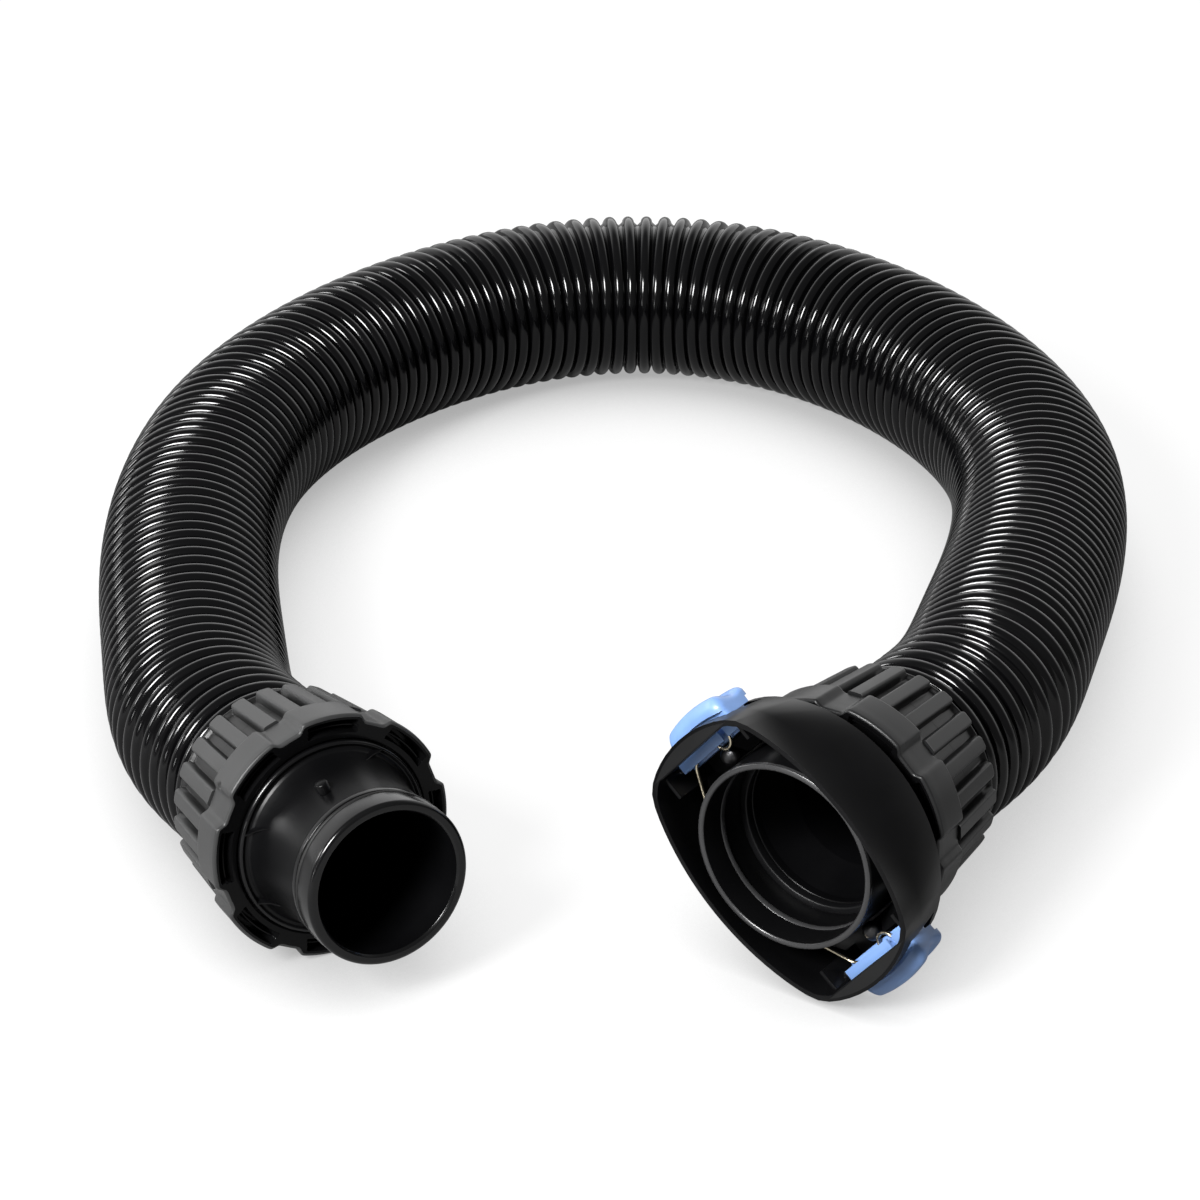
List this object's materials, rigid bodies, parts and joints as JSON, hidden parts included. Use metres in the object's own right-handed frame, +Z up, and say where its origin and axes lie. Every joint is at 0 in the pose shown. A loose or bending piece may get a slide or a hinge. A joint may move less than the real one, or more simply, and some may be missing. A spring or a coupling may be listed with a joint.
{
  "type": "vacuum hose",
  "caption": "Corrugated vacuum hose in a loop, with a plain spigot on one end and a latching socket on the other, each held by a screw collar.",
  "frame": {"origin": "On the surface that the hose lies on, under the middle of the box around the two end fittings, without the hose.", "axes": "+X runs from the spigot end to the socket end, +Y runs into the loop of the hose, and +Z is up from the surface."},
  "size_m": [0.2926, 0.4138, 0.0731],
  "materials": {
    "hose_black": "glossy black corrugated plastic",
    "adapter_black": "satin moulded black plastic",
    "rubber_black": "soft black rubber",
    "seal_black": "smooth dark rubber",
    "inner_grey": "plain moulded plastic, hidden",
    "collar_grey": "satin dark grey moulded plastic",
    "shroud_black": "satin black moulded plastic",
    "latch_blue": "light blue moulded plastic",
    "pin_steel": "plain steel",
    "spring_wire": "pale bright spring wire",
    "screw_dark": "glossy dark grey"
  },
  "bodies": {
    "hose_and_ends": {"hose": "hose_black", "spigot_adapter": "adapter_black", "spigot_o_ring": "rubber_black", "spigot_gasket": "rubber_black", "socket_adapter": "adapter_black", "socket_seal": "seal_black", "socket_gasket": "rubber_black", "latch_housing": "shroud_black", "upper_latch_pin": "pin_steel", "upper_latch_spring": "spring_wire", "lower_latch_pin": "pin_steel", "lower_latch_spring": "spring_wire", "spring_screws": "screw_dark"},
    "spigot_grip": {"spigot_grip_ring": "inner_grey"},
    "spigot_collar": {"spigot_nut": "collar_grey"},
    "socket_grip": {"socket_grip_ring": "inner_grey"},
    "socket_collar": {"socket_nut": "collar_grey"},
    "upper_latch": {"upper_latch": "latch_blue"},
    "lower_latch": {"lower_latch": "latch_blue"}
  },
  "joints": [
    {"name": "spigot_collar_travel", "type": "slide", "parent": "hose_and_ends", "child": "spigot_grip", "axis": [-0.4985, 0.8634, -0.0785], "range_m": [0, 0.003]},
    {"name": "spigot_collar_turn", "type": "hinge", "parent": "spigot_grip", "child": "spigot_collar", "pos_m": [-0.0625, -0.004, 0.0326], "axis": [-0.4985, 0.8634, -0.0785], "range_deg": [0, 360]},
    {"name": "socket_collar_travel", "type": "slide", "parent": "hose_and_ends", "child": "socket_grip", "axis": [0.5736, 0.8192, 0], "range_m": [0, 0.003]},
    {"name": "socket_collar_turn", "type": "hinge", "parent": "socket_grip", "child": "socket_collar", "pos_m": [0.0614, -0.0037, 0.0373], "axis": [0.5736, 0.8192, 0], "range_deg": [0, 360]},
    {"name": "upper_latch_rock", "type": "hinge", "parent": "hose_and_ends", "child": "upper_latch", "pos_m": [0.03387, -0.00029, 0.05787], "axis": [-0.5265, 0.3687, -0.766], "range_deg": [0, 12], "stiffness_Nm_per_rad": 0.12, "springref_deg": -2.86, "deforming": ["upper_latch_spring"]},
    {"name": "lower_latch_rock", "type": "hinge", "parent": "hose_and_ends", "child": "lower_latch", "pos_m": [0.07402, -0.02841, 0.01673], "axis": [0.5265, -0.3687, 0.766], "range_deg": [0, 12], "stiffness_Nm_per_rad": 0.12, "springref_deg": -2.86, "deforming": ["lower_latch_spring"]}
  ],
  "couplings": [
    {"joint": "spigot_collar_travel", "follows": "spigot_collar_turn", "m_per_rad": 0.00047746},
    {"joint": "socket_collar_travel", "follows": "socket_collar_turn", "m_per_rad": 0.00047746}
  ]
}
